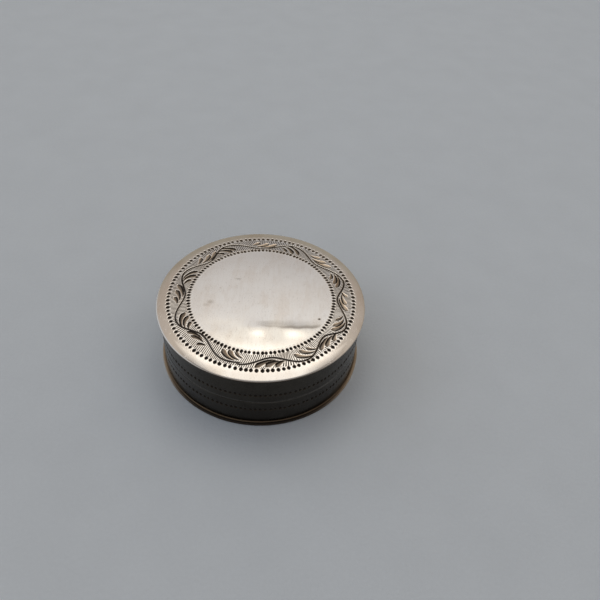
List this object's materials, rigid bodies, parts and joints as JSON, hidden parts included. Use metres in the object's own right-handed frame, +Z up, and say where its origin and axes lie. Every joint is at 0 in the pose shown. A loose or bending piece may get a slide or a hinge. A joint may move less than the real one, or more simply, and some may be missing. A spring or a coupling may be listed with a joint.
{
  "type": "pill box",
  "caption": "Round silver pill box: domed lid that pulls off a lining sleeve, end plates that stand out past the walls, engraved leaf border on the lid and punched dots round the walls.",
  "frame": {"origin": "centre of the resting face, under the base plate", "axes": "+Z up along the box's axis, towards the lid; -Y to the front, +X to the right"},
  "size_m": [0.032, 0.032, 0.0112],
  "materials": {
    "lid_silver": "engraved silver, handled to a soft polish",
    "wall_silver": "polished silver, darkened in the punch marks",
    "base_silver": "polished silver with a warm tarnish",
    "lining_silver": "satin silver",
    "solder": "silver solder, dull"
  },
  "bodies": {
    "base": {"base_plate": "base_silver", "base_wall": "wall_silver", "inner_sleeve": "lining_silver", "sleeve_solder": "solder", "base_outer_solder": "solder"},
    "lid": {"lid_plate": "lid_silver", "lid_wall": "wall_silver", "lid_inner_solder": "solder", "lid_outer_solder": "solder"}
  },
  "joints": [
    {"name": "lid_lift", "type": "slide", "parent": "base", "child": "lid", "axis": [0, 0, 1], "range_m": [0, 0.014]}
  ]
}
